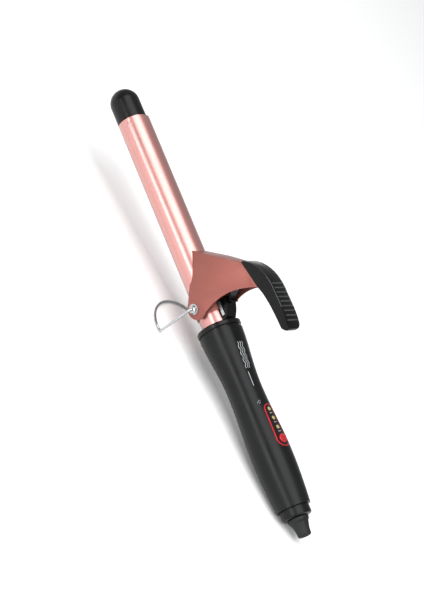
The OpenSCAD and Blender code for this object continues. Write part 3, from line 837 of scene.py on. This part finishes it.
        # A plain motif in place of a name: three wavy strands of hair
        strands = [[(self.strand_from + (self.strand_to - self.strand_from) * i / 60,
                     shift + offset + self.strand_swing * math.sin(i / 60 * self.strand_waves * 2 * math.pi))
                    for i in range(61)]
                   for offset in (-self.strand_gap, 0.0, self.strand_gap)]
        self.print_lines("handle_rule", skin, [rule], self.rule_wide, radius, PALE_INK, Body.IRON,
                         "black_nylon")
        self.print_lines("handle_strands", skin, strands, self.strand_wide, radius, PALE_INK, Body.IRON,
                         "black_nylon")
        windows = [self.station(f"window_{i}") for i in (1, 2, 3)]
        front = windows[0] + 5.0
        arcs = [[(front + 0.2 + r * math.cos(a), 5.6 + r * math.sin(a)) for a in
                 (math.radians(-8 + 80 * i / 12) for i in range(13))] for r in self.arc_radii]
        self.print_lines("warmth_arcs", skin, arcs, self.arc_wide, radius, GREY_INK, Body.IRON,
                         "black_nylon")
        panel = self.surface("control_panel")
        ticks = [[(w - 3.6, -1.2 + 0.6 * i) for i in range(3)] for w in windows]
        ticks += [[(w - 3.0 - 0.6 * i, 0.9) for i in range(3)] for w in windows]
        self.print_lines("window_ticks", panel, ticks, self.tick_wide, radius, PALE_INK, Body.IRON,
                         "gloss_panel")
        button = self.surface("power_button")
        middle = self.station("power_button")
        ring = [(middle + 1.5 * math.cos(a), 1.5 * math.sin(a)) for a in
                (math.radians(40 + 280 * i / 24) for i in range(25))]
        bar = [(middle + 0.5 + 1.5 * i / 4, 0.0) for i in range(5)]
        self.print_lines("power_sign", button, [ring, bar], self.sign_wide, radius, DARK_INK,
                         Body.BUTTON, "red_acrylic")

    def station(self, node: str) -> float:
        """Station along the handle of the middle of a node, in mm from the hinge."""
        low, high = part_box(node)
        return ((low + high) / 2 - self.bench.origin).dot(self.bench.tip) / MM


# ---- Button, stand and gland ----

@dataclass
class PowerButton(SubAssembly):
    """The round button that sinks into the panel."""

    def build(self) -> None:
        """Makes the button's cap with soft edges."""
        self.add_piece("power_button_cap", self.softened("power_button", 0, 24), RED_ACRYLIC, Body.BUTTON,
                       "red_acrylic", "power_button")

    def dress(self) -> None:
        """Gives the button its finish."""
        self.finish_nodes({RED_ACRYLIC: ["power_button"]})


@dataclass
class WireStand(SubAssembly):
    """Bent wire stand, in the two hinge pins."""

    sides: int = 20
    smooth_steps: int = 4

    def build(self) -> None:
        """Makes the wire smooth and round, through the same route as the frame's."""
        route, radius = self.route()
        fine: list[Vector] = []
        for i in range(len(route) - 1):
            before, a, b, after = (route[max(i - 1, 0)], route[i], route[i + 1],
                                   route[min(i + 2, len(route) - 1)])
            for k in range(self.smooth_steps):
                t = k / self.smooth_steps
                fine.append(0.5 * (2 * a + (b - before) * t + (2 * before - 5 * a + 4 * b - after) * t ** 2
                                   + (3 * a - before - 3 * b + after) * t ** 3))
        fine.append(route[-1])
        mesh = swept_tube("stand_wire_round", fine, radius, self.sides)
        shade_by_angle(mesh, 50)
        self.add_piece("stand_wire_drawn", mesh, CHROME, Body.STAND, "chrome", "stand_wire")

    def route(self) -> tuple[list[Vector], float]:
        """Reads the middle line of the frame's wire from its rings.

        Returns:
            The middle of each ring in order, and the wire's radius, in metres.
        """
        work = bmesh.new()
        work.from_mesh(frame["nodes"]["stand_wire"].data)
        bmesh.ops.remove_doubles(work, verts=work.verts, dist=0.002 * MM)
        bmesh.ops.dissolve_limit(work, angle_limit=math.radians(0.3), verts=work.verts, edges=work.edges)
        caps = sorted((f for f in work.faces if len(f.verts) > 6), key=lambda f: f.calc_center_median().y)
        ring = list(caps[0].verts)
        seen: set[bmesh.types.BMVert] = set()
        middles: list[Vector] = []
        radius = 0.0
        while ring:
            middle = sum((v.co for v in ring), Vector()) / len(ring)
            radius = max(radius, max((v.co - middle).length for v in ring)) if not middles else radius
            middles.append(middle)
            seen.update(ring)
            ring = list({e.other_vert(v) for v in ring for e in v.link_edges} - seen)
            if len(ring) > len(caps[0].verts):
                ring = sorted(ring, key=lambda v: (v.co - middle).length)[:len(caps[0].verts)]
        work.free()
        return middles, radius

    def dress(self) -> None:
        """Gives the wire its finish."""
        self.finish_nodes({CHROME: ["stand_wire"]})


@dataclass
class CordGland(SubAssembly):
    """Swivelling gland in the end cap, without its cord."""

    def build(self) -> None:
        """Makes the gland smooth."""
        self.add_piece("cord_gland_moulding", self.softened("cord_gland", 0.3, 34), BLACK_RUBBER,
                       Body.GLAND,
                       "black_rubber", "cord_gland")

    def dress(self) -> None:
        """Gives the gland's pieces their finishes."""
        self.finish_nodes({BLACK_RUBBER: ["cord_gland"], ZINC_STEEL: ["gland_retainer"],
                           BRASS: ["slip_rings"]})


# ---- Studio ----

@dataclass
class Studio:
    """Pale floor, soft boxes and the camera."""

    bench: Bench
    floor_half_m: float = 6.0
    distance_m: float = 1.4
    behind_degrees: float = 16.0
    above_degrees: float = 36.0
    roll_degrees: float = 22.6
    aim_right_mm: float = 1.8
    aim_up_mm: float = 5.5
    lens_mm: float = 105.2
    top_lean: float = 0.33
    front_lift: float = 0.25
    surround: float = 0.45

    def floor(self) -> None:
        """Lays the paper floor under the iron, as a flat sheet."""
        n = 12
        half = self.floor_half_m
        points = [(half * (2 * i / n - 1), half * (2 * j / n - 1), 0.0)
                  for i in range(n + 1) for j in range(n + 1)]
        mesh = bpy.data.meshes.new("studio_floor")
        mesh.from_pydata(points, [], grid_faces(n + 1, n + 1, False))
        mesh.materials.append(PAPER.material())
        sheet = bpy.data.objects.new("studio_floor", mesh)
        bpy.context.scene.collection.objects.link(sheet)

    def soft_box(self, name: str, towards: Vector, distance: float, wide: float, long: float,
                 watts: float) -> None:
        """Hangs one soft box that faces the iron, its long side along the barrel.

        Args:
            name: Name of the light.
            towards: Direction from the iron to the light.
            distance: Distance in metres.
            wide: Short side in metres.
            long: Long side in metres.
            watts: Power.
        """
        data = bpy.data.lights.new(name, "AREA")
        data.shape, data.size, data.size_y, data.energy = "RECTANGLE", wide, long, watts
        light = bpy.data.objects.new(name, data)
        back = towards.normalized()
        along = (self.bench.tip - self.bench.tip.dot(back) * back).normalized()
        side = along.cross(back)
        light.matrix_world = Matrix.Translation(self.bench.origin + back * distance) @ Matrix(
            (side, along, back)).transposed().to_4x4()
        bpy.context.scene.collection.objects.link(light)

    def lights(self) -> None:
        """Lights the iron with a top box, a front box and an even surround."""
        lever, across = self.bench.lever, Vector((0, 1, 0))
        self.soft_box("top_box", lever - self.top_lean * across, distance=1.6, wide=1.40, long=2.8,
                      watts=45.0)
        self.soft_box("front_box", self.front_lift * lever - across, distance=1.2, wide=0.32, long=1.4,
                      watts=9.5)
        world = bpy.data.worlds.new("even_surround")
        world.use_nodes = True
        tree = world.node_tree
        tree.nodes.clear()
        glow = add_node(tree, "ShaderNodeBackground",
                        inputs={"Color": to_linear("#f6f7f8"), "Strength": self.surround})
        add_node(tree, "ShaderNodeOutputWorld", inputs={"Surface": glow.outputs["Background"]})
        bpy.context.scene.world = world
        bpy.context.scene.view_settings.view_transform = "Standard"

    def camera(self) -> None:
        """Sets the camera near the handle's side, above the iron and a little behind the hinge, rolled."""
        behind, above, roll = (
            math.radians(a) for a in (self.behind_degrees, self.above_degrees, self.roll_degrees))
        to_camera = (-math.sin(behind) * self.bench.tip
                     + math.cos(behind) * math.sin(above) * self.bench.lever
                     - math.cos(behind) * math.cos(above) * Vector((0, 1, 0)))
        up = (self.bench.tip - self.bench.tip.dot(to_camera) * to_camera).normalized()
        right = (-to_camera).cross(up)
        screen_right = math.cos(roll) * right - math.sin(roll) * up
        screen_up = math.sin(roll) * right + math.cos(roll) * up
        place = self.bench.origin + self.distance_m * to_camera
        aim = self.bench.origin + MM * (self.aim_right_mm * screen_right + self.aim_up_mm * screen_up)
        back = (place - aim).normalized()
        screen_right = (screen_right - screen_right.dot(back) * back).normalized()
        screen_up = back.cross(screen_right)
        data = bpy.data.cameras.new("studio_camera")
        data.sensor_width, data.lens = 36.0, self.lens_mm
        data.clip_start, data.clip_end = 0.05, 50.0
        camera = bpy.data.objects.new("studio_camera", data)
        camera.matrix_world = Matrix.Translation(place) @ Matrix(
            (screen_right, screen_up, back)).transposed().to_4x4()
        bpy.context.scene.collection.objects.link(camera)
        bpy.context.scene.camera = camera

    def build(self) -> None:
        """Makes the floor, the lights and the camera."""
        self.floor()
        self.lights()
        self.camera()


def clear_default_scene() -> None:
    """Removes whatever the empty start scene holds besides the frame."""
    kept = set(frame["nodes"].values()) | set(frame["bodies"].values())
    for thing in list(bpy.data.objects):
        if thing not in kept:
            bpy.data.objects.remove(thing)


def main() -> None:
    """Builds the iron's sub-assemblies in order, then the studio."""
    logging.basicConfig(level=logging.INFO, format="%(name)s: %(message)s")
    clear_default_scene()
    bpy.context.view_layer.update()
    bench = Bench.from_joints(frame["joints"])
    Studio(bench).build()
    for group in (Barrel(bench), Clip(bench), Handle(bench), PowerButton(bench), WireStand(bench),
                  CordGland(bench)):
        group.dress()
        group.build()


if __name__ == "__main__":
    main()
